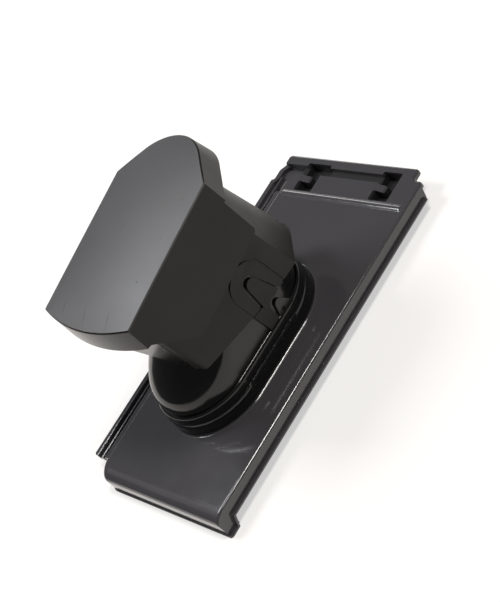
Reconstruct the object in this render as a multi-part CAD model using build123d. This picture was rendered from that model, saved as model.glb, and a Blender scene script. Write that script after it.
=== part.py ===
from build123d import *
from math import cos, radians, sin, tan
import os

# Roof ventilation tile: a flat moulded tile with an oval collar, a neck clipped over the
# collar, a round duct pipe inside, and a hooded cowl that is keyed to the neck.
# Millimetres, X across the tile, Y up the roof slope, Z away from the roof.
# z = 0 is the plane the nose stands on, y = 0 the nose edge, x = 0 the neck's middle plane.

# Tile
tile_length = 456.0
field_left, field_w = -103.0, 216.4
field_right = field_left + field_w
tile_height = 30.0            # field above the plane the nose stands on
wall = 3.0
nose_y = -1.5                 # front face of the nose
nose_run, nose_drop = 18.0, 10.0     # the field rolls over to the nose along this quarter ellipse
nose_lip = 1.8
side_depth = 15.0             # right-hand wall, from the field down to its lip
side_end, side_slant = 6.0, 3.0      # it ends this far before the head's side edge, on a slant
lip, lip_end = 4.6, 5.0
lip_thick = 2.0
foot_y0, foot_y1 = 12.5, 16.5     # the deeper corner of the right-hand wall ends here
edge_round = 3.0
nose_corner = 12.0            # rounded corner beside the side lock

# Side lock on the left: a step, two ribs and two water channels
lock_front, lock_behind_bar = 22.0, 21.0
step_drop, step_w = 4.0, 11.0             # step beside the field
rib_drop, floor_drop = 8.0, 13.0
inner_channel_w, low_rib_w = 8.3, 3.4
outer_channel_w, outer_rib_w = 6.8, 7.5
rib_round = 1.6
step_x = field_left - step_w
low_rib_x = step_x - inner_channel_w - low_rib_w / 2
lock_outer = low_rib_x - low_rib_w / 2 - outer_channel_w - outer_rib_w

# Head: weather bar, cross channel and the two batten pockets
head_depth = 55.0              # from the weather bar to the rear edge
bar_w, bar_h = 8.5, 1.5
bar_y = tile_length - head_depth
bar_foot, bar_end = 1.5, 2.0   # fillet at the field, and the gap to the rounded edge
head_left, head_inset, head_side = field_left - 20.0, 15.4, 39.0
head_right = field_right - head_inset
head_side_y = bar_y + head_side
head_rim = 6.0                 # the head's edge is this deep
channel_run, channel_w, channel_depth = 30.0, 11.5, 6.0
channel_y0 = bar_y + channel_run
channel_y1 = channel_y0 + channel_w
channel_right = field_right - 53.4
pocket_x, pocket_pitch = field_right - 64.9, -128.5
pocket_w, pocket_front, pocket_long, pocket_depth = 30.5, 6.0, 39.5, 15.0
pocket_y0 = bar_y + pocket_front
pocket_y1 = pocket_y0 + pocket_long
tab_front, tab_w, pocket_arm = 14.0, 9.0, 15.5
tab_y0 = pocket_y0 + tab_front
tab_y1 = tab_y0 + tab_w
pocket_floor = 2.5
pocket_reach = 9.5             # the left pocket runs on this far behind its tab
head_round = 5.0
tab_drop = 5.0                # the tab over each pocket slopes down by this much

# Duct pipe and its lip seal: the neck, the cheeks and the hood are as wide as the duct asks
pipe_r, pipe_wall = 55.0, 2.7
pipe_z0, pipe_z1 = 0.0, 172.0
pipe_bead_z, pipe_bead_h, pipe_bead_w = 56.0, 2.0, 4.0   # bead that stops the hose pushed on from below
seal_wall, seal_lip = 3.2, 2.5
pipe_room = 9.0                           # from the pipe to the neck's outside

# Oval collar and the neck clipped over it
oval_front, oval_rear = 148.0, 240.7      # centres of the oval's two round ends
ledge_h, collar_h = 13.2, 27.0            # ledge that carries the neck's skirt, collar top
collar_foot = 3.0                         # fillet at the field
skirt_wall, skirt_h, skirt_taper, rim_round = 2.8, 31.8, 0.8, 5.0
skirt_lip, skirt_lip_h = 1.0, 2.4         # the skirt flares out to this lip at its lower edge
skirt_top = 3.4                           # thickness of the skirt's top
rim_groove, rim_groove_depth = 1.3, 1.2    # crevice between the rim's bead and the neck's wall
fit = 0.2                                 # clearance between clipped pieces
neck_inset, neck_wall = 5.0, 2.5           # the neck stands this far inside the collar's ledge
neck_r = pipe_r + pipe_room
collar_r = neck_r + neck_inset
neck_h = 118.0
neck_lean = ((28.0, 0.0), (38.0, 0.2), (50.0, 4.2), (66.0, 20.2), (82.0, 44.2), (98.0, 64.2),
             (neck_h, 85.7))
pipe_y = oval_rear - 3.0
upstand_h = 10.0                          # upstand round the pipe on the neck's top

# Cowl: drawn square in its own frame, which leans forward by this angle
# about the line x, y = 0 at the height of the field
cowl_pitch = 7.2
key_layer, shell = 3.3, 2.5                # space for the keys between neck and cheeks
cheek_x = neck_r + key_layer
housing_front = 133.0
housing_rear, housing_apex = oval_rear + 47.3, oval_rear + 93.8
housing_corner, housing_end_angle = 10.0, 45.0
housing_h, housing_draft = 152.0, 0.1     # height, and how the rear wall leans in
front_edge_h = 66.5                       # lower edge of the front wall
cheek_edge = ((137.0, 60.2), (211.6, 35.5), (254.2, 23.0), (288.0, 17.6), (345.0, 11.0))
slot_v, slot_w, slot_r = 238.8, 61.0, 8.8
key_v, key_w, key_r = slot_v + 0.9, slot_w - 4.0, slot_r - 1.4
key_angle = 10.3
key_edge_h = 23.0                         # lower end of the tongue
pad_r, pad_depth = 27.0, 1.1
lug_v, lug_h, lug_half, lug_round = key_v + 1.3, 18.2, 11.8, 5.5
lug_face = cheek_x - 0.2
lug_eye_v, lug_eye_w = lug_v - 2.1, 4.2
recess_v, recess_w, recess_r = lug_v - 2.3, 16.2, 8.5    # the key plate's recess round the lug
lug_hole, lug_eye_depth, lug_thick = 2.9, 1.4, 2.6
lug_base = 1.4                            # the lug starts this far above the collar

# Hood
hood_side_gap, hood_edge, hood_crown = 10.6, 179.7, 3.0
hood_half = cheek_x + hood_side_gap
hood_front, hood_rear = 123.5, housing_rear + 5.5      # corners of the top face
hood_front_apex, hood_rear_apex = 110.0, housing_apex + 10.5
hood_end_angle = 46.0
hood_side_draft, hood_front_draft, hood_rear_draft = 0.025, 0.1, 0.12
skirt_low, end_low = 95.0, 146.8          # lower edges of the side skirts and end walls
skirt_front_low, skirt_front_high, skirt_rear = 161.0, 125.0, 287.5
skirt_round, hood_edge_cut = 5.0, 1.3
hood_peak = 215.0             # the top face is highest here
hood_over = 12.3              # the walls are drawn this far above the edge, then cut by the top face
post_v, post_deep, post_thick = (165.0, 262.0), 13.3, 3.0
post_x = cheek_x - post_deep
post_low, guide_low = 118.0, 168.0

os.makedirs("parts", exist_ok=True)
cowl = Location((0, 0, tile_height), (cowl_pitch, 0, 0))


def save(shape, name):
    shape.label = name
    export_step(shape, f"parts/{name}.step")


def block(x0, x1, y0, y1, z0, z1):
    return Pos((x0 + x1) / 2, (y0 + y1) / 2, (z0 + z1) / 2) * Box(x1 - x0, y1 - y0, z1 - z0)


def across(points, x0, x1):
    """A profile of (y, z) points carried along X."""
    face = Face(Wire(Polyline(*[(x0, y, z) for y, z in points], close=True)))
    return extrude(face, amount=x1 - x0, dir=(1, 0, 0))


def along(points, y0, y1):
    """A profile of (x, z) points carried along Y."""
    face = Face(Wire(Polyline(*[(x, y0, z) for x, z in points], close=True)))
    return extrude(face, amount=y1 - y0, dir=(0, 1, 0))


def plan(points, z0, z1):
    """A profile of (x, y) points carried along Z."""
    face = Face(Wire(Polyline(*[(x, y, z0) for x, y in points], close=True)))
    return extrude(face, amount=z1 - z0, dir=(0, 0, 1))


def oval(r, front, rear, z):
    """A level oval: two half circles of radius r about the end centres."""
    return Wire([
        Line((r, front, z), (r, rear, z)),
        ThreePointArc((r, rear, z), (0, rear + r, z), (-r, rear, z)),
        Line((-r, rear, z), (-r, front, z)),
        ThreePointArc((-r, front, z), (0, front - r, z), (r, front, z)),
    ])


def oval_prism(r, z0, z1, r1=None):
    low = oval(r, oval_front, oval_rear, z0)
    high = oval(r if r1 is None else r1, oval_front, oval_rear, z1)
    return Solid.make_loft([low, high], ruled=True)


def disc(r, z0, z1):
    """A round disc or rod about the pipe's axis."""
    return Pos(0, pipe_y, (z0 + z1) / 2) * Cylinder(r, z1 - z0)


def end_arch(half, corner, apex, angle, z):
    """The rear end of a shell: two slanted runs and a tangent arc, from +X to -X."""
    a = radians(angle)
    r = (half * tan(a) - (apex - corner)) / (sin(a) * tan(a) - (1 - cos(a)))
    xt, yt = r * sin(a), apex - r * (1 - cos(a))
    return [
        Line((half, corner, z), (xt, yt, z)),
        ThreePointArc((xt, yt, z), (0, apex, z), (-xt, yt, z)),
        Line((-xt, yt, z), (-half, corner, z)),
    ]


def inner_corner(corner, angle, thick):
    """Where the inside of an end_arch meets the inside of the side wall."""
    a = radians(angle)
    return corner + thick * tan(a) - thick / cos(a)


# Tile
field_z = tile_height
side_low = field_z - side_depth - lip_thick


def rounded_nose(grow, y1, z0, z1):
    """The field's front part in plan, with its rounded left corner, grown by grow."""
    shape = block(field_left - grow, field_right, nose_y - grow, y1, z0, z1)
    corner = shape.edges().filter_by(Axis.Z).sort_by(lambda e: e.center().X + e.center().Y)[0]
    return fillet(corner, nose_corner + grow)


def nose_cut(thick):
    """What lies outside the roll between the field and the nose, this far inside its surface."""
    run, drop = nose_run - thick, nose_drop - thick
    y, z = nose_y + nose_run, field_z - nose_drop
    arc = EllipticalCenterArc((y, z), run, drop, start_angle=90, arc_size=90)
    rest = Polyline((y - run, z), (y - run - 5, z), (y - run - 5, z + drop + 5),
                    (y, z + drop + 5), (y, z + drop))
    face = Plane.YZ * Face(Wire([arc, *rest.edges()]))
    return Pos(lock_outer, 0, 0) * extrude(face, amount=1.5 * field_w)


def make_tile():
    # field with its right-hand wall and nose
    body = block(field_left, field_right, nose_y, head_side_y, side_low, field_z)
    body += block(field_left, field_right, nose_y, foot_y1, 0, field_z)
    body += block(head_left, head_right, channel_y1 - 2, tile_length, side_low, field_z)
    body += block(field_left, head_right, channel_y0 - 20, tile_length, side_low, field_z)
    corners = body.edges().filter_by(Axis.Z).filter_by(lambda e: e.center().Y > head_side_y - 1)
    body = fillet(corners, head_round)
    body -= nose_cut(0)
    right_edge = [e for e in body.edges() if e.bounding_box().min.X > field_right - 0.1
                  and e.bounding_box().min.Z > field_z - nose_drop - 0.1
                  and e.bounding_box().max.Y < head_side_y + 1]
    body = fillet([e for e in right_edge if e.length > 5], edge_round)
    body &= rounded_nose(0, nose_y + 60, -1, field_z + 1) + block(
        head_left - 1, field_right + 1, nose_y + 50, tile_length + 1, -1, field_z + 1)
    body += rounded_nose(nose_lip, nose_y + 20, 0, lip_thick) - block(
        field_left - 20, field_left, nose_y + nose_corner, 40, -1, 10)
    # hollow from below, leaving the pocket walls
    inside = rounded_nose(-wall, head_side_y - wall, -1, field_z - wall)
    inside -= block(field_right - wall, field_right + 1, -10, tile_length, -2, field_z)
    inside += block(field_left + wall, head_right - wall, channel_y0 - 20, tile_length - wall,
                    -1, field_z - wall)
    inside -= nose_cut(wall)
    recess = block(-89.5, channel_right, channel_y0, channel_y1, field_z - channel_depth, field_z + 1)
    keep = block(field_left, channel_right + wall, channel_y0 - wall, channel_y1 + wall,
                 field_z - channel_depth - wall, field_z)
    for shift in (0, pocket_pitch):
        x0, x1 = pocket_x + shift, pocket_x + pocket_w + shift
        pocket = block(x0, x1, pocket_y0, pocket_y1, field_z - pocket_depth, field_z + 1)
        pocket -= block(x0 - 1, x1 - pocket_arm, tab_y0, tab_y1, 0, field_z)
        pocket = fillet(pocket.edges().filter_by(Axis.Z), 2.0)
        pocket += along(((x0 - 3.5, field_z), (x0 - 3.5, field_z + 1), (x1 - pocket_arm + 1, field_z + 1),
                         (x1 - pocket_arm + 1, field_z - tab_drop)), tab_y0 - 1, channel_y0 + 1)
        if shift:
            pocket += block(x1 - 1, x1 + pocket_reach, channel_y0, pocket_y1,
                            field_z - pocket_depth, field_z + 1)
        recess += pocket
        reach = pocket_reach if shift else 0
        keep += block(x0 - wall, x1 + reach + wall, pocket_y0 - wall, pocket_y1 + wall,
                      field_z - pocket_depth - pocket_floor, field_z)
    body -= inside - keep
    wall_end = head_side_y - side_end
    behind = across(((wall_end - side_slant, side_low - 1), (wall_end, field_z - head_rim),
                     (tile_length + 1, field_z - head_rim), (tile_length + 1, side_low - 1)),
                    head_left - 1, field_right + 1)
    body -= behind - keep
    # the side wall stands behind the nose with its foot, and carries the lip
    body -= block(field_left - 1, field_right + 1, foot_y1, tile_length, -1, side_low)
    front, rear = nose_y - nose_lip, wall_end - lip_end
    band = across(((rear, side_low), (foot_y1 + 2, side_low), (foot_y0, 0), (front, 0),
                   (front, lip_thick), (foot_y0 - 2, lip_thick), (foot_y1, side_low + lip_thick),
                   (rear, side_low + lip_thick)), field_right - wall, field_right + lip)
    ends = band.edges().filter_by(Axis.Z).filter_by(lambda e: e.center().X > field_right)
    band = fillet([e for e in ends if e.center().Y < 0], lip - 0.2)
    ends = band.edges().filter_by(Axis.Z).filter_by(lambda e: e.center().X > field_right + lip - 0.1)
    body += fillet([e for e in ends if e.center().Y > rear - 1], lip / 2)
    # side lock
    floor, rib = field_z - floor_drop, field_z - rib_drop
    lock = along((
        (field_left + 0.5, field_z - step_drop), (step_x, field_z - step_drop), (step_x - 1, floor),
        (low_rib_x + low_rib_w / 2 + 0.6, floor), (low_rib_x + low_rib_w / 2, rib),
        (low_rib_x - low_rib_w / 2, rib), (low_rib_x - low_rib_w / 2 - 0.6, floor),
        (lock_outer + outer_rib_w + 0.8, floor), (lock_outer + outer_rib_w, rib),
        (lock_outer, rib), (lock_outer, side_low), (lock_outer + wall, side_low),
        (lock_outer + wall, floor - wall), (step_x + wall, floor - wall),
        (step_x + wall, field_z - step_drop - wall), (field_left + 0.5, field_z - step_drop - wall),
    ), lock_front, bar_y + lock_behind_bar)
    tops = lock.edges().filter_by(Axis.Y).filter_by(lambda e: e.center().Z > rib - 0.1)
    tops = [e for e in tops if e.center().X < field_left - 1]
    lock = fillet(tops, rib_round)
    body += lock
    # the lock's channel turns the corner into the cross channel
    y0, y1 = bar_y + 16.5, channel_y1 + 4.5
    right = field_left + 15
    turn = plan(((lock_outer, y0), (lock_outer + 5.5, y0 + 7), (lock_outer + 5.5, y1 - 10),
                 (lock_outer + 12.5, y1), (right, y1), (right, y0)), floor - wall, rib)
    turn = fillet([e for e in turn.edges().filter_by(Axis.Z) if e.center().X < -120
                   and e.center().Y > y0 + 2], 3.0)
    body += turn
    left, right = low_rib_x - 3.3, field_left + 14
    bend = ((11.0, 28.0), (8.5, 23.5), (4.0, 18.5), (0.8, 11.0), (0.0, 3.0))
    body -= plan(((lock_outer + 8, y0 - 0.5), (left, y0 + 7.5), (left, channel_y1 - 6.5),
                  (left + 5.8, channel_y1), (right, channel_y1), (right, channel_y0),
                  *[(field_left + x, bar_y + y) for x, y in bend],
                  (step_x, bar_y + 3), (step_x, bar_y + 10)), floor, field_z + 1)
    body -= recess
    low_rib = block(low_rib_x - low_rib_w / 2, low_rib_x + low_rib_w / 2,
                    bar_y + 9, bar_y + 27, floor - 0.5, rib)
    body += fillet([e for e in low_rib.edges() if e.center().Z > rib - 0.1 and e.center().Y > bar_y + 10],
                   rib_round)
    # rounded front corner of the lock
    nib = block(lock_outer - 1, lock_outer + 6, lock_front - 1, lock_front + 6, 0, field_z)
    body -= nib - Pos(lock_outer + 6, lock_front + 6, 15) * Cylinder(6, 40)
    # weather bar across the field, low and round with round ends
    bar_r = (bar_w ** 2 / 4 + bar_h ** 2) / (2 * bar_h)
    x0 = field_left + edge_round + bar_end + bar_w / 2
    x1 = field_right - edge_round - bar_end - bar_w / 2
    bar = Pos((x0 + x1) / 2, 0, 0) * Rot(0, 90, 0) * Cylinder(bar_r, x1 - x0)
    for x in (x0, x1):
        bar += Pos(x, 0, 0) * Rot(90, 0, 0) * Sphere(bar_r)
    body += (Pos(0, bar_y, field_z + bar_h - bar_r) * bar) & block(
        field_left, field_right, bar_y - bar_w, bar_y + bar_w, field_z - 0.5, field_z + bar_h + 1)
    bar_edge = [e for e in body.edges() if abs(e.center().Z - field_z) < 0.01
                and e.bounding_box().min.Y > bar_y - bar_w and e.bounding_box().max.Y < bar_y + bar_w
                and e.bounding_box().max.X < field_right - edge_round - bar_end + 0.1
                and e.bounding_box().min.X > field_left + edge_round + bar_end - 0.1
                and abs(e.center().Y - bar_y) <= bar_w / 2 + 0.1]
    body = fillet(bar_edge, bar_foot)
    # collar with the ledge for the neck's skirt
    body += oval_prism(collar_r, field_z - 1, field_z + ledge_h)
    foot = [e for e in body.edges() if abs(e.center().Z - field_z) < 0.01
            and abs(e.bounding_box().min.Z - e.bounding_box().max.Z) < 0.01
            and e.bounding_box().max.Y < oval_rear + collar_r + 1
            and e.bounding_box().min.Y > oval_front - collar_r - 1
            and abs(e.bounding_box().min.X) < collar_r + 1 and abs(e.bounding_box().max.X) < collar_r + 1]
    body = fillet(foot, collar_foot)
    upper_r = collar_r - skirt_wall - fit
    body += oval_prism(upper_r, field_z, field_z + collar_h)
    body -= oval_prism(upper_r - wall, -1, field_z + collar_h + 1)
    return body


save(make_tile(), "base_tile")


# Neck: skirt over the collar, oval body that leans back, top with the pipe opening
def make_neck():
    z0 = field_z + ledge_h + fit
    ztop = field_z + skirt_h
    skirt = oval_prism(collar_r - skirt_lip, z0, ztop, collar_r - skirt_lip - skirt_taper)
    rim = [e for e in skirt.edges() if e.bounding_box().min.Z > ztop - 0.01]
    skirt = fillet(rim, rim_round)
    skirt += oval_prism(collar_r, z0, z0 + skirt_lip_h)
    skirt += oval_prism(collar_r, z0 + skirt_lip_h, z0 + 2 * skirt_lip_h, collar_r - skirt_lip - 0.1)
    skirt -= oval_prism(neck_r + rim_groove, ztop - rim_groove_depth, ztop + 1)
    body, hollow = [
        Solid.make_loft([oval(r, oval_front + 0.5 + dy, oval_rear, field_z + z) for z, dy in neck_lean])
        for r in (neck_r, neck_r - neck_wall)]
    neck = skirt + body
    neck -= oval_prism(collar_r - skirt_wall, z0 - 1, ztop - skirt_top)
    neck -= hollow & block(-neck_r, neck_r, 0, tile_length, 0, field_z + neck_h - neck_wall)
    opening = pipe_r + seal_wall + fit
    top = field_z + neck_h
    neck += disc(opening + neck_wall, top - neck_wall, top + upstand_h)
    neck -= disc(opening, top - neck_wall - 1, top + upstand_h + 1)
    # eyed lugs on the rim of the skirt, in line with the keys
    for side in (1, -1):
        neck += lug(side)
    return neck


def lug(side):
    x0 = lug_face - lug_thick
    tip = Pos(0, lug_v, lug_h - lug_round) * Rot(0, 90, 0) * Cylinder(lug_round, lug_thick)
    shoulder_v, shoulder_w = lug_round * 0.88, lug_h - lug_round * 0.53
    base = across(((lug_v - lug_half, -3.5), (lug_v - lug_half, 1.0), (lug_v - shoulder_v, shoulder_w),
                   (lug_v + shoulder_v, shoulder_w), (lug_v + lug_half, 1.0), (lug_v + lug_half, -3.5)),
                  -lug_thick / 2, lug_thick / 2)
    eye = Pos(lug_face, lug_eye_v, lug_eye_w) * Rot(0, 90, 0) * Cylinder(lug_hole, 2 * lug_eye_depth)
    shape = cowl * (Pos(x0 + lug_thick / 2, 0, 0) * (base + tip) - eye)
    shape &= block(0, cheek_x, 0, tile_length, field_z + collar_h + lug_base, field_z + neck_h)
    return shape if side > 0 else mirror(shape, Plane.YZ)


save(make_neck(), "neck")


# Key plates on the neck's flat sides
def edge_at(v):
    for (v0, w0), (v1, w1) in zip(cheek_edge, cheek_edge[1:]):
        if v <= v1:
            return w0 + (w1 - w0) * (v - v0) / (v1 - v0)


def wedge(v, w, r, low, x0, x1):
    """A V with a round end at (v, w), widening downwards to the height low."""
    a = radians(key_angle)
    cv, cw = r * cos(a), r * sin(a)
    run = (w + cw - low) * tan(a)
    face = Face(Wire([
        Line((x0, v + cv + run, low), (x0, v + cv, w + cw)),
        ThreePointArc((x0, v + cv, w + cw), (x0, v, w + r), (x0, v - cv, w + cw)),
        Line((x0, v - cv, w + cw), (x0, v - cv - run, low)),
        Line((x0, v - cv - run, low), (x0, v + cv + run, low)),
    ]))
    return extrude(face, amount=x1 - x0, dir=(1, 0, 0))


def make_key(side):
    x0, x1 = neck_r + 0.1, cheek_x - 0.1
    tongue = wedge(key_v, key_w, key_r, key_edge_h, x0, x1)
    v0, v1, v2 = slot_v - pad_r, slot_v - 12.8, lug_v + 3
    plate = across(((v0, 3.6), (v0, edge_at(v0) - 1.0), (v1, edge_at(v1) - 1.0),
                    (v1 + 2.5, key_edge_h + 3), (v2, key_edge_h + 3), (v2, 3.6)), x0, x1)
    left, right = recess_v - recess_r, lug_v + lug_half + 3
    recess = Pos((x0 + x1) / 2, recess_v, recess_w) * Rot(0, 90, 0) * Cylinder(recess_r, x1 - x0 + 2)
    recess += across(((left, recess_w), (left - 2.2, 0), (right, 0), (right, key_edge_h),
                      (recess_v + 3, key_edge_h), (recess_v, recess_w)), x0 - 1, x1 + 1)
    key = cowl * (tongue + plate - recess)
    key -= block(-cheek_x, cheek_x, 0, tile_length, 0, field_z + skirt_h + 0.1)
    return key if side > 0 else mirror(key, Plane.YZ)


save(make_key(1), "key_right")
save(make_key(-1), "key_left")

# Duct pipe and lip seal
pipe = chamfer(disc(pipe_r, pipe_z0, pipe_z1).edges(), 0.8)
pipe += fillet(disc(pipe_r + pipe_bead_h, pipe_bead_z, pipe_bead_z + pipe_bead_w).edges(), 1.5)
pipe -= disc(pipe_r - pipe_wall, pipe_z0 - 1, pipe_z1 + 1)
save(pipe, "duct_pipe")

seal_z = field_z + neck_h + upstand_h
seal = disc(pipe_r + seal_wall, seal_z - upstand_h - neck_wall, seal_z)
seal += disc(pipe_r + seal_wall + neck_wall, seal_z, seal_z + seal_lip)
seal -= disc(pipe_r + 0.1, seal_z - 30, seal_z + 30)
save(seal, "pipe_seal")


# Vent housing
def housing_outline(w, thick):
    apex = housing_apex - housing_draft * (w - 10) - thick
    rear = housing_rear - 0.3 * housing_draft * (w - 10)
    corner = inner_corner(rear, housing_end_angle, thick)
    half, front, r = cheek_x - thick, housing_front + thick, housing_corner - thick
    d = r * (1 - cos(radians(45)))
    return Wire([
        Line((half, front + r, w), (half, corner, w)),
        *end_arch(half, corner, apex, housing_end_angle, w),
        Line((-half, corner, w), (-half, front + r, w)),
        ThreePointArc((-half, front + r, w), (-half + d, front + d, w), (-half + r, front, w)),
        Line((-half + r, front, w), (half - r, front, w)),
        ThreePointArc((half - r, front, w), (half - d, front + d, w), (half, front + r, w)),
    ])


def make_housing():
    low = -20.0
    body = Solid.make_loft([housing_outline(low, 0), housing_outline(housing_h, 0)], ruled=True)
    body -= Solid.make_loft([housing_outline(low - 1, shell), housing_outline(housing_h + 1, shell)],
                            ruled=True)
    # slanted lower edge, with the front wall ending higher
    edge = list(cheek_edge)
    rear = housing_apex + 80
    below = ((0, low - 5), (0, front_edge_h), (housing_front + 1.5, front_edge_h), *edge,
             (rear, edge[-1][1]), (rear, low - 5))
    body -= across(below, -cheek_x - 20, cheek_x + 20)
    for side in (1, -1):
        x0, x1 = (cheek_x - pad_depth, cheek_x + 2) if side > 0 else (-cheek_x - 2, -cheek_x + pad_depth)
        pad = Pos((x0 + x1) / 2, slot_v, slot_w) * Rot(0, 90, 0) * Cylinder(pad_r, x1 - x0)
        pad += block(x0, x1, slot_v - pad_r, slot_v + pad_r, -10, slot_w)
        body -= pad
        a, b = (cheek_x - 8, cheek_x + 2) if side > 0 else (-cheek_x - 2, -cheek_x + 8)
        body -= wedge(slot_v, slot_w, slot_r, -10, a, b)
        # posts that carry the hood, two on each cheek
        for v in post_v:
            p0, p1 = (post_x, cheek_x - shell + 0.2) if side > 0 else (-cheek_x + shell - 0.2, -post_x)
            body += block(p0, p1, v - post_thick / 2, v + post_thick / 2, post_low,
                          hood_edge - shell + 0.7)
    return cowl * body


save(make_housing(), "vent_housing")


# Hood
def hood_outline(w, thick):
    t = hood_edge - w
    half = hood_half + hood_side_draft * t - thick
    front, front_apex = hood_front - 0.12 * t, hood_front_apex - hood_front_draft * t
    rear = inner_corner(hood_rear - 0.03 * t, hood_end_angle, thick)
    return Wire([
        Line((half, front + thick, w), (half, rear, w)),
        *end_arch(half, rear, hood_rear_apex + hood_rear_draft * t - thick, hood_end_angle, w),
        Line((-half, rear, w), (-half, front + thick, w)),
        ThreePointArc((-half, front + thick, w), (0, front_apex + thick, w), (half, front + thick, w)),
    ])


def crown(top):
    """Everything below the top face, which is curved both ways and highest near its middle."""
    middle, front, rear = hood_peak, hood_front_apex, hood_rear_apex
    rows = []
    for i in range(11):
        v = front - 20 + (rear - front + 45) * i / 10
        run = rear - middle if v > middle else middle - front
        fall = (abs(v - middle) / run) ** 3
        row = []
        for j in range(-3, 4):
            aside = 1.22 * j / 3
            rise = (1 - aside ** 2) * (1 - fall) if abs(j) < 3 else -0.5
            row.append(Vector(hood_half * aside, v, top + hood_crown * rise))
        rows.append(row)
    face = Face.make_surface_from_array_of_points(rows, tol=0.01, max_deg=5)
    return extrude(face, amount=top, dir=(0, 0, -1))


def make_hood():
    low, high = skirt_low - 10, hood_edge + hood_over
    outer = Solid.make_loft([hood_outline(low, 0), hood_outline(high, 0)], ruled=True) & crown(hood_edge)
    rim = [e for e in outer.edges() if e.bounding_box().min.Z > hood_edge - 4]
    outer = chamfer(rim, hood_edge_cut)
    inner = Solid.make_loft([hood_outline(low - 1, shell), hood_outline(high, shell)], ruled=True)
    inner &= crown(hood_edge - shell)
    body = outer - inner
    front, rear = hood_front_apex - 30, hood_rear_apex + 35
    keep = across(((front, high + 8), (front, end_low + 2.5), (skirt_front_high - 4, end_low + 1.5),
                   (skirt_front_high, end_low), (skirt_front_low, skirt_low),
                   (skirt_rear - 0.5, skirt_low), (skirt_rear + 2.0, end_low), (rear, end_low),
                   (rear, high + 8)), -hood_half - 20, hood_half + 20)
    keep_edges = [e for e in keep.edges().filter_by(Axis.X) if e.center().Z < skirt_low + 1]
    keep = fillet(keep_edges, skirt_round)
    body &= keep
    # guides either side of each housing post
    for v in post_v:
        for side in (1, -1):
            for g in (v - post_thick / 2 - fit - 2.0, v + post_thick / 2 + fit):
                guide = block(post_x + 1, cheek_x - shell - 1, g, g + 2.0, guide_low, hood_edge - 0.5)
                body += guide if side > 0 else mirror(guide, Plane.YZ)
    return cowl * body


save(make_hood(), "hood_cap")
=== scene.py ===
"""Looks for a moulded roof ventilation tile: plastics, soft studio light, floor and camera.

Lengths are in mm up to the meshes and in metres after that. The cowl's own frame has x across,
v up the slope and w away from the field, and leans forward with the cowl.
"""

import math

import bmesh
import bpy
from mathutils import Matrix, Vector
from mathutils.bvhtree import BVHTree


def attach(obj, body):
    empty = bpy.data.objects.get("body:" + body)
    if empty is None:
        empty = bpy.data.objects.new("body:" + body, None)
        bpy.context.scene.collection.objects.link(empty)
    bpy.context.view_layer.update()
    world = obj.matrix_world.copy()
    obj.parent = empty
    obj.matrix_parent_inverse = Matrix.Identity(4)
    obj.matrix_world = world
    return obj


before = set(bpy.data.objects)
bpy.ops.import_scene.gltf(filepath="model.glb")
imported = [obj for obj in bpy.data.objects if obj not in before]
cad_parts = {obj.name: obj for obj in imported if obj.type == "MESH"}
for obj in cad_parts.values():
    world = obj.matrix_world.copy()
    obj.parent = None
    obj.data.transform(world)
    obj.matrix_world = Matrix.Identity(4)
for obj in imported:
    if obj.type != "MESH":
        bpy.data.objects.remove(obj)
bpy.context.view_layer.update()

MM = 0.001
FIELD = 30.0                                        # the tile's field above the rest plane
PITCH = math.radians(7.2)                           # forward lean of the cowl
COWL = Matrix.Translation((0, 0, FIELD * MM)) @ Matrix.Rotation(PITCH, 4, "X")
TILE = Matrix.Identity(4)

# Materials
CLOUD_SCALE, CLOUD_DETAIL = 14.0, 4.0               # noise that clouds the colour
GLOSS_SCALE, GLOSS_DETAIL = 42.0, 3.0               # noise that makes the gloss uneven
GRAIN_SCALE, GRAIN_DETAIL, GRAIN_ROUGH = 900.0, 2.0, 0.6
GRAIN_DEPTH = 0.2 * MM
NOISE_RANGE = (0.3, 0.7)                            # the part of the noise that is spread out
EVEN_ROUGH = 0.5                                    # roughness of the two wider noises
SHEEN_NORMAL = (0.86, 0.97)                          # upward normal where the painted sheen starts and is full
FRONT_NORMAL = (-0.6, -0.9)                         # the same for the polish of the front faces
ZONE_BORDER = 1.2                                   # width of a zone's soft border


def srgb(r, g, b):
    """A colour given as 0 to 255 display values, as linear numbers."""
    def lin(c):
        c /= 255.0
        return c / 12.92 if c <= 0.04045 else ((c + 0.055) / 1.055) ** 2.4
    return (lin(r), lin(g), lin(b))


def mixed(tree, kind, factor, a, b):
    """A mix of two values, each of them a socket or a constant."""
    node = tree.nodes.new("ShaderNodeMix")
    node.data_type = kind
    for name, value in (("Factor", factor), ("A", a), ("B", b)):
        if isinstance(value, bpy.types.NodeSocket):
            tree.links.new(value, node.inputs[name])
        else:
            node.inputs[name].default_value = value
    return node.outputs["Result"]


def spread_out(tree, source, low, high, out_low, out_high):
    """The source's run from low to high, as a run from out_low to out_high."""
    node = tree.nodes.new("ShaderNodeMapRange")
    node.inputs["From Min"].default_value = low
    node.inputs["From Max"].default_value = high
    node.inputs["To Min"].default_value = out_low
    node.inputs["To Max"].default_value = out_high
    tree.links.new(source, node.inputs["Value"])
    return node.outputs["Result"]


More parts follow.
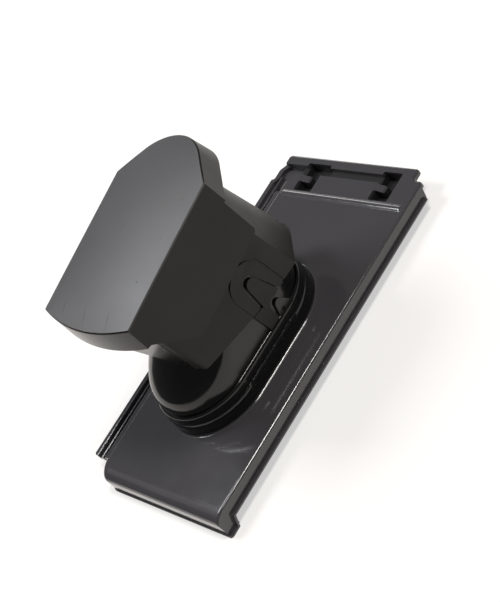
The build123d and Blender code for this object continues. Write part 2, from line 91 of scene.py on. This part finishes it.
def tint(tree, place, low, high, colour, inside):
    """The colour given, and another one inside a box with soft borders."""
    nodes, link = tree.nodes, tree.links.new
    middle = [(a + b) / 2 * MM for a, b in zip(low, high)]
    half = [(b - a) / 2 * MM for a, b in zip(low, high)]

    def vector(operation, source, value=None):
        node = nodes.new("ShaderNodeVectorMath")
        node.operation = operation
        link(source, node.inputs[0])
        if value:
            node.inputs[1].default_value = value
        return node.outputs["Vector"]

    off = vector("SUBTRACT", vector("ABSOLUTE", vector("SUBTRACT", place, middle)), half)
    axes = nodes.new("ShaderNodeSeparateXYZ")
    link(off, axes.inputs[0])
    far = axes.outputs[0]
    for axis in (1, 2):
        more = nodes.new("ShaderNodeMath")
        more.operation = "MAXIMUM"
        link(far, more.inputs[0])
        link(axes.outputs[axis], more.inputs[1])
        far = more.outputs[0]
    share = spread_out(tree, far, 0.0, -ZONE_BORDER * MM, 0.0, 1.0)
    return mixed(tree, "RGBA", share, colour, (*inside, 1.0))


def plastic(name, dark, light, rough, spread=0.08, grain=0.12, specular=0.5, zones=(),
            painted_sheen=None, polish=None):
    """Moulded plastic: clouded colour, uneven gloss and a fine eroded grain.

    Each zone is a box in mm, from one corner to the other, with the colour inside it.
    The sheen colour is painted sheen: a lighter colour on the faces that look up; polish is the
    roughness of the front faces.
    """
    mat = bpy.data.materials.new(name)
    mat.use_nodes = True
    tree = mat.node_tree
    nodes, link = tree.nodes, tree.links.new
    shader = nodes["Principled BSDF"]
    shader.inputs["Specular IOR Level"].default_value = specular
    coord = nodes.new("ShaderNodeTexCoord")

    def noise(scale, detail, roughness):
        node = nodes.new("ShaderNodeTexNoise")
        node.inputs["Scale"].default_value = scale
        node.inputs["Detail"].default_value = detail
        node.inputs["Roughness"].default_value = roughness
        link(coord.outputs["Object"], node.inputs["Vector"])
        return node.outputs["Fac"]

    def facing(axis, limits):
        """How far a face's own normal lies between two limits along an axis, from 0 to 1."""
        axes = nodes.new("ShaderNodeSeparateXYZ")
        link(coord.outputs["Normal"], axes.inputs[0])
        return spread_out(tree, axes.outputs[axis], *limits, 0.0, 1.0)

    cloud = spread_out(tree, noise(CLOUD_SCALE, CLOUD_DETAIL, EVEN_ROUGH), *NOISE_RANGE, 0.0, 1.0)
    colour = mixed(tree, "RGBA", cloud, (*dark, 1.0), (*light, 1.0))
    for low, high, inside in zones:
        colour = tint(tree, coord.outputs["Object"], low, high, colour, inside)
    # painted sheen: the faces that look up get a lighter colour, standing in for the lamps' sheen on
    # them
    if painted_sheen:
        colour = mixed(tree, "RGBA", facing("Z", SHEEN_NORMAL), colour, (*painted_sheen, 1.0))
    link(colour, shader.inputs["Base Color"])
    gloss = spread_out(tree, noise(GLOSS_SCALE, GLOSS_DETAIL, EVEN_ROUGH), *NOISE_RANGE,
                       rough - spread, rough + spread)
    if polish:
        gloss = mixed(tree, "FLOAT", facing("Y", FRONT_NORMAL), gloss, polish)
    link(gloss, shader.inputs["Roughness"])
    bump = nodes.new("ShaderNodeBump")
    bump.inputs["Strength"].default_value = grain
    bump.inputs["Distance"].default_value = GRAIN_DEPTH
    link(noise(GRAIN_SCALE, GRAIN_DETAIL, GRAIN_ROUGH), bump.inputs["Height"])
    link(bump.outputs["Normal"], shader.inputs["Normal"])
    return mat


# Darker boxes on the tile: two corners of a box, and the colour. The cross channel and the batten
# pockets hold painted shade; the collar is near black.
ZONES = [
    ((-80, 60, 30.6), (80, 330, 70), (0.006, 0.006, 0.006)),            # collar
    # painted shade: the cross channel and the two batten pockets are darker where shade falls in them
    ((-92, 430, 20), (64, 443, 29.2), (0.024, 0.0235, 0.0250)),         # cross channel
    ((-85, 400, 10), (-39, 452, 26.5), (0.019, 0.0185, 0.0200)),        # left batten pocket
    ((44, 400, 10), (90, 452, 26.5), (0.019, 0.0185, 0.0200)),          # right batten pocket
]
tile_mat = plastic("tile_plastic", (0.046, 0.0440, 0.0482), (0.050, 0.0480, 0.0522),
                   rough=0.11, spread=0.015, grain=0.02, specular=0.7, zones=ZONES)
neck_mat = plastic("neck_plastic", (0.0045, 0.0045, 0.0045), (0.0055, 0.0055, 0.0055),
                   rough=0.14, spread=0.02, grain=0.02)
cowl_mat = plastic("cowl_plastic", (0.013, 0.0118, 0.0108), (0.016, 0.0145, 0.0133),
                   rough=0.42, spread=0.02, grain=0.1, specular=0.28, polish=0.24)
# The hood's top gets painted sheen: a lighter colour on its upward faces
hood_mat = plastic("hood_plastic", (0.010, 0.0092, 0.0092), (0.013, 0.0120, 0.0120),
                   rough=0.38, spread=0.02, grain=0.16, specular=0.28,
                   painted_sheen=(0.057, 0.0563, 0.0597), polish=0.20)
pipe_mat = plastic("pipe_plastic", srgb(120, 120, 122), srgb(128, 128, 130), rough=0.35)
seal_mat = plastic("seal_rubber", srgb(22, 22, 22), srgb(27, 27, 27), rough=0.6)

# Each node's material, and the rounding of its edges
FINISH = {
    "base_tile": (tile_mat, 0.6), "neck": (neck_mat, 0.4), "key_left": (cowl_mat, 0.3),
    "key_right": (cowl_mat, 0.3), "vent_housing": (cowl_mat, 0.4), "hood_cap": (hood_mat, 0.6),
    "duct_pipe": (pipe_mat, 0.3), "pipe_seal": (seal_mat, 0.3),
}
WELD = 0.02                                         # points closer than this are joined
EDGE_SEGMENTS = 3
EDGE_ANGLE = math.radians(38)                       # edges sharper than this are rounded
for name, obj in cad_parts.items():
    material, edge = FINISH[name]
    obj.data.materials.clear()
    obj.data.materials.append(material)
    weld = obj.modifiers.new("weld", "WELD")
    weld.merge_threshold = WELD * MM
    round_edges = obj.modifiers.new("round_edges", "BEVEL")
    round_edges.width = edge * MM
    round_edges.segments = EDGE_SEGMENTS
    round_edges.limit_method = "ANGLE"
    round_edges.angle_limit = EDGE_ANGLE
    round_edges.harden_normals = True
    even = obj.modifiers.new("even_normals", "WEIGHTED_NORMAL")
    even.keep_sharp = True


# Closed meshes
def solid(name, points, faces, material, place=COWL):
    """A closed mesh from points in mm, in the cowl's own frame unless a place is given."""
    mesh = bpy.data.meshes.new(name)
    mesh.from_pydata([Vector(p) * MM for p in points], [], faces)
    mesh.transform(place)
    mesh.materials.append(material)
    bm = bmesh.new()
    bm.from_mesh(mesh)
    bmesh.ops.recalc_face_normals(bm, faces=bm.faces)
    bm.to_mesh(mesh)
    bm.free()
    obj = bpy.data.objects.new(name, mesh)
    bpy.context.collection.objects.link(obj)
    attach(obj, "root")
    return obj


def quads(rings, size, start=0):
    """Faces between rings that follow each other in the points, each of the same size."""
    return [(a + i, a + (i + 1) % size, a + size + (i + 1) % size, a + size + i)
            for a in range(start, start + (rings - 1) * size, size) for i in range(size)]


def tube(rings, size):
    """Faces of a closed tube: its two ends, and what lies between."""
    last = (rings - 1) * size
    return [tuple(range(size)), tuple(range(last, last + size)), *quads(rings, size)]


def arc(centre_v, centre_w, radius, start, end, steps):
    """Points (v, w) on an arc, with its angles in radians."""
    angles = [start + (end - start) * i / steps for i in range(steps + 1)]
    return [(centre_v + radius * math.cos(a), centre_w + radius * math.sin(a)) for a in angles]


# Round pads on the cheeks, about the slots. They fill the cheeks' recesses and stand out above.
CHEEK = 67.3                                        # the cheeks' outer faces, from the middle
PAD_ROOT, CAP_ROOT = CHEEK - 1.1, CHEEK - 1.0       # inner faces of the pad and of its raised part
PAD_V, PAD_W, PAD_RADIUS = 237.2, 62.3, 25.0
PAD_STEPS, CAP_STEPS, SLOT_STEPS = 32, 24, 16
CAP_TILT, CAP_AWAY = math.radians(13), 10.0         # the raised part's foot: tilt, and distance
CAP_SLOPE = 0.11
SLOT_V, SLOT_W, SLOT_RADIUS = 238.8, 61.0, 8.8      # round end of the slot
SLOT_FLARE = math.radians(10.3)
SLOT_PAST = 4.0                                     # the slot's outline goes on below the cheek
EDGE_V, EDGE_W, EDGE_RUN, EDGE_FALL = 211.6, 35.5, 42.6, 12.5   # the cheek's slanted lower edge


def cheek_low(v):
    """Height of the cheek's lower edge."""
    return EDGE_W - EDGE_FALL * (v - EDGE_V) / EDGE_RUN


def slot_outline():
    """The cheek's slot from its right foot over the round end to its left foot."""
    low = cheek_low(SLOT_V) - SLOT_PAST
    run = (SLOT_W + SLOT_RADIUS * math.sin(SLOT_FLARE) - low) * math.tan(SLOT_FLARE)
    end = arc(SLOT_V, SLOT_W, SLOT_RADIUS, SLOT_FLARE, math.pi - SLOT_FLARE, SLOT_STEPS)
    return [(end[0][0] + run, low), *end, (end[-1][0] - run, low)]


def slab(name, outline, side, low, high):
    """A plate on a cheek: its outline in (v, w), from low to high(v, w) along X."""
    points = [(side * low, v, w) for v, w in outline]
    points += [(side * high(v, w), v, w) for v, w in outline]
    return solid(name, points, tube(2, len(outline)), cowl_mat)


def make_pad(name, side):
    """The pad and its raised upper part, on the right for side 1 and on the left for -1."""
    rim = arc(PAD_V, PAD_W, PAD_RADIUS, 0.0, math.pi, PAD_STEPS)
    slot = slot_outline()
    feet = [slot[0][0], rim[0][0]], [rim[-1][0], slot[-1][0]]
    right, left = [[(v, cheek_low(v)) for v in pair] for pair in feet]
    slab("slot_pad_" + name, [*right, *rim, *left, *slot[-2:0:-1]], side, PAD_ROOT,
         lambda v, w: CHEEK)
    reach = math.asin(CAP_AWAY / PAD_RADIUS)
    raised = arc(PAD_V, PAD_W, PAD_RADIUS, CAP_TILT + reach, CAP_TILT + math.pi - reach, CAP_STEPS)

    def face(v, w):
        up = (w - PAD_W) * math.cos(CAP_TILT) - (v - PAD_V) * math.sin(CAP_TILT)
        return CHEEK + CAP_SLOPE * (up - CAP_AWAY)

    slab("slot_pad_cap_" + name, raised, side, CAP_ROOT, face)


make_pad("right", 1)
make_pad("left", -1)

# The field rolls over to the nose: a cut round the nose's edge, and a lining under it
NOSE_Y, NOSE_RUN, NOSE_DROP = -1.5, 18.0, 10.0      # front face, and the roll's two radii
TILE_LEFT, TILE_RIGHT = -103.0, 113.4
CORNER, RIGHT_EDGE = 12.0, 3.0                      # rounding of the left corner, and on the right
ROLL_STEPS = 48
CUT_PAST, CUT_FRONT, CUT_TOP = 1.0, -20.0, 45.0     # how far the cut reaches past the nose
LINING, LINING_GAP = 3.0, 0.02                      # thickness, and clearance to the cut
LINING_ENDS = (-100.2, 110.5)
LINING_TURN = -100.0                                # the left corner's stations start here


def roll(x, inset):
    """Points (y, z) of the roll at x, from the field down to the nose's front face."""
    aside = min(max(TILE_LEFT + CORNER - x, 0.0), CORNER)
    front = NOSE_Y + CORNER - math.sqrt(CORNER ** 2 - aside ** 2)
    over = min(max(x - TILE_RIGHT + RIGHT_EDGE, 0.0), RIGHT_EDGE)
    edge = RIGHT_EDGE - math.sqrt(RIGHT_EDGE ** 2 - over ** 2)
    points = []
    for i in range(ROLL_STEPS + 1):
        t = math.pi / 2 * i / ROLL_STEPS
        d = inset + edge * math.sqrt(max(math.cos(t), 0.0))
        points.append((front + NOSE_RUN - (NOSE_RUN - d) * math.sin(t),
                       FIELD - NOSE_DROP + (NOSE_DROP - d) * math.cos(t)))
    return points


def above_roll(x):
    """Section of what the roll leaves out, up to well above the field."""
    line = roll(x, 0.0)
    return [*line, (CUT_FRONT, FIELD - NOSE_DROP), (CUT_FRONT, CUT_TOP), (line[0][0], CUT_TOP)]


def under_roll(x):
    """Section of the lining."""
    return roll(x, LINING_GAP) + roll(x, LINING)[::-1]


def swept(name, stations, section):
    """A closed mesh of the tile, through the same number of (y, z) points at each x station."""
    rows = [section(x) for x in stations]
    points = [(x, y, z) for x, row in zip(stations, rows) for y, z in row]
    return solid(name, points, tube(len(rows), len(rows[0])), tile_mat, TILE)


left_turn = [TILE_LEFT + CORNER * (1 - math.cos(math.radians(a))) for a in range(0, 91, 6)]
right_turn = [TILE_RIGHT - RIGHT_EDGE * (1 - math.sin(math.radians(a))) for a in range(0, 91, 10)]
cutter = swept("nose_cutter",
               [TILE_LEFT - CUT_PAST, *left_turn, *right_turn, TILE_RIGHT + CUT_PAST], above_roll)
cutter.hide_render = cutter.hide_viewport = True
swept("nose_lining",
      [LINING_ENDS[0], *[x for x in left_turn if x > LINING_TURN], LINING_ENDS[1]], under_roll)
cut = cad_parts["base_tile"].modifiers.new("nose_roll", "BOOLEAN")
cut.operation = "DIFFERENCE"
cut.object = cutter
cut.solver = "EXACT"

# Floor, end wall and side wall of the water channel where it turns into the head
CHANNEL_X = [-114.4, -102.2]
CHANNEL_SECTION = [(399.0, 13.5), (418.4, 13.5), (418.4, 16.97), (401.0, 16.97), (401.0, 25.9),
                   (399.0, 25.9)]
BEND = [(-92.0, 429.0), (-94.5, 424.5), (-99.0, 419.5), (-102.2, 412.0), (-103.0, 404.0)]
BEND_THICKNESS = (2.2, -2.0)                        # along x and y, towards the field
BEND_LOW, BEND_HIGH = 14.0, 27.5
swept("channel_floor", CHANNEL_X, lambda x: CHANNEL_SECTION)
wall = BEND + [(x + BEND_THICKNESS[0], y + BEND_THICKNESS[1]) for x, y in BEND[::-1]]
solid("channel_wall", [(x, y, z) for z in (BEND_LOW, BEND_HIGH) for x, y in wall],
      tube(2, len(wall)), tile_mat, TILE)

# Fine marks on the hood's top face
LINES = [(-47.4, 141.5, -40.7, 121.3), (-7.3, 138.3, 1.5, 115.9), (33.9, 140.0, 41.7, 116.7)]
LINE_WIDTH, LINE_HEIGHT, LINE_STEPS = 0.9, 0.22, 10
LINE_CREST, LINE_SUNK = 0.4, 0.2                    # width of the crest as a share, and depth
NUBS = [(58.4, 271.3), (56.2, 224.4), (53.7, 174.9), (-13.6, 233.6), (-13.6, 228.3)]
NUB_RADIUS, NUB_HEIGHT, NUB_SIDES = 1.1, 0.4, 16
NUB_RINGS = [(0.4, 0.12, 0.0), (0.75, 0.45, 0.0), (1.0, 1.0, 0.1)]  # radius, drop, and sunk depth
ABOVE_HOOD = 260.0                                  # rays to the hood start at this height
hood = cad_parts["hood_cap"]
bpy.context.view_layer.update()
hood_tree = BVHTree.FromObject(hood, bpy.context.evaluated_depsgraph_get())


def on_hood(x, v):
    """Height of the hood's top face in the cowl's frame, mm."""
    to_local = hood.matrix_world.inverted() @ COWL
    start = to_local @ (Vector((x, v, ABOVE_HOOD)) * MM)
    down = (to_local.to_3x3() @ Vector((0, 0, -1))).normalized()
    hit = hood_tree.ray_cast(start, down)[0]
    return (to_local.inverted() @ hit).z / MM


def ridge(name, x0, v0, x1, v1):
    """A low ridge along a line on the hood's top face."""
    across = Vector((v1 - v0, x0 - x1)).normalized() * LINE_WIDTH / 2
    points = []
    for i in range(LINE_STEPS + 1):
        k = i / LINE_STEPS
        x, v = x0 + (x1 - x0) * k, v0 + (v1 - v0) * k
        z = on_hood(x, v)
        top = LINE_HEIGHT * math.sin(math.pi * k)
        for aside, up in ((1, -LINE_SUNK), (LINE_CREST, top), (-LINE_CREST, top), (-1, -LINE_SUNK)):
            points.append((x + across.x * aside, v + across.y * aside, z + up))
    return solid(name, points, tube(LINE_STEPS + 1, 4), hood_mat)


def nub(name, x, v):
    """A low round nub on the hood's top face."""
    z = on_hood(x, v)
    points = [(x, v, z + NUB_HEIGHT)]
    for share, drop, sunk in NUB_RINGS:
        for j in range(NUB_SIDES):
            a = 2 * math.pi * j / NUB_SIDES
            points.append((x + NUB_RADIUS * share * math.cos(a), v + NUB_RADIUS * share * math.sin(a),
                           z + NUB_HEIGHT * (1 - drop) - sunk))
    faces = [(0, 1 + j, 1 + (j + 1) % NUB_SIDES) for j in range(NUB_SIDES)]
    faces += quads(len(NUB_RINGS), NUB_SIDES, start=1)
    faces.append(tuple(range(len(points) - NUB_SIDES, len(points))))
    return solid(name, points, faces, hood_mat)


for i, line in enumerate(LINES):
    ridge(f"hood_line_{i}", *line)
for i, (x, v) in enumerate(NUBS):
    nub(f"hood_nub_{i}", x, v)

# Floor
FLOOR_HALF, FLOOR_UNDER = 9.0, 0.2 * MM             # half its side, and how far it lies below, m
FLOOR_COLOUR = (0.96, 0.93, 0.89, 1)
FLOOR_ROUGH, FLOOR_SPECULAR = 0.9, 0.1
WHITE, WARM_WHITE = (1, 1, 1, 1), (1.0, 0.96, 0.92, 1)
floor_mesh = bpy.data.meshes.new("floor")
floor_mesh.from_pydata([(x * FLOOR_HALF, y * FLOOR_HALF, 0)
                        for x, y in ((-1, -1), (1, -1), (1, 1), (-1, 1))], [], [(0, 1, 2, 3)])
floor = bpy.data.objects.new("floor", floor_mesh)
floor.location.z = -FLOOR_UNDER
bpy.context.collection.objects.link(floor)
floor_mat = bpy.data.materials.new("floor_paint")
floor_mat.use_nodes = True
floor_tree = floor_mat.node_tree
floor_shader = floor_tree.nodes["Principled BSDF"]
floor_shader.inputs["Base Color"].default_value = FLOOR_COLOUR
floor_shader.inputs["Roughness"].default_value = FLOOR_ROUGH
floor_shader.inputs["Specular IOR Level"].default_value = FLOOR_SPECULAR
rays = floor_tree.nodes.new("ShaderNodeLightPath")


def white_for(surface, ray, share, colour):
    """The surface, partly or wholly white for one kind of ray, so that the object still shades it."""
    glow = floor_tree.nodes.new("ShaderNodeEmission")
    glow.inputs["Color"].default_value = colour
    part = floor_tree.nodes.new("ShaderNodeMath")
    part.operation = "MULTIPLY"
    part.inputs[1].default_value = share
    floor_tree.links.new(rays.outputs[ray], part.inputs[0])
    mix = floor_tree.nodes.new("ShaderNodeMixShader")
    floor_tree.links.new(part.outputs["Value"], mix.inputs["Fac"])
    floor_tree.links.new(surface, mix.inputs[1])
    floor_tree.links.new(glow.outputs["Emission"], mix.inputs[2])
    return mix.outputs["Shader"]


surface = white_for(floor_shader.outputs["BSDF"], "Is Camera Ray", 0.55, WHITE)
surface = white_for(surface, "Is Glossy Ray", 1.0, WARM_WHITE)
surface = white_for(surface, "Is Transmission Ray", 1.0, WHITE)
floor_tree.links.new(surface, floor_tree.nodes["Material Output"].inputs["Surface"])
floor_mesh.materials.append(floor_mat)

# Light
WORLD_STRENGTH = 0.10
CENTRE = Vector((0.0, 0.22, 0.1))                   # the lamps look at this place, m
LAMP_FAR = 2.6
# Azimuth and elevation in degrees, power in W, colour, and side of the square in metres
LAMPS = {
    "left_box": (186, 55, 48.0, (0.97, 0.98, 1.0), 0.9),
    "right_box": (30, 66, 50.0, (1.0, 0.97, 0.93), 0.7),
    "low_box": (200, 38, 0.6, (1.0, 0.97, 0.94), 0.8),
    "rear_box": (140, 14, 5.0, (1.0, 0.98, 0.96), 0.7),
}
world = bpy.data.worlds.new("studio")
bpy.context.scene.world = world
world.use_nodes = True
world.node_tree.nodes["Background"].inputs["Color"].default_value = WHITE
world.node_tree.nodes["Background"].inputs["Strength"].default_value = WORLD_STRENGTH
for name, (azimuth, elevation, power, colour, size) in LAMPS.items():
    a, e = math.radians(azimuth), math.radians(elevation)
    way = Vector((math.cos(e) * math.cos(a), math.cos(e) * math.sin(a), math.sin(e)))
    lamp = bpy.data.lights.new(name, "AREA")
    lamp.shape = "SQUARE"
    lamp.size = size
    lamp.energy = power
    lamp.color = colour
    obj = bpy.data.objects.new(name, lamp)
    bpy.context.collection.objects.link(obj)
    obj.location = CENTRE + LAMP_FAR * way
    obj.rotation_euler = (-way).to_track_quat("-Z", "Y").to_euler()

# Camera, fitted to the photograph
CAMERA_AT = (1.349492, -0.240136, 1.085810)
CAMERA_RIGHT = Vector((0.6282559, 0.5141373, -0.5839155))
CAMERA_UP = Vector((-0.1412223, 0.8134215, 0.5642710))
CAMERA_BACK = Vector((0.7650822, -0.2720447, 0.5836445))
SENSOR, LENS, CLIP_END = 36.0, 94.96, 50.0          # mm, mm and m
camera = bpy.data.objects.new("camera", bpy.data.cameras.new("camera"))
bpy.context.collection.objects.link(camera)
camera.data.sensor_width = SENSOR
camera.data.lens = LENS
camera.data.clip_end = CLIP_END
turn = Matrix((CAMERA_RIGHT, CAMERA_UP, CAMERA_BACK)).transposed().to_4x4()
camera.matrix_world = Matrix.Translation(CAMERA_AT) @ turn
bpy.context.scene.camera = camera

bpy.context.scene.view_settings.view_transform = "Standard"
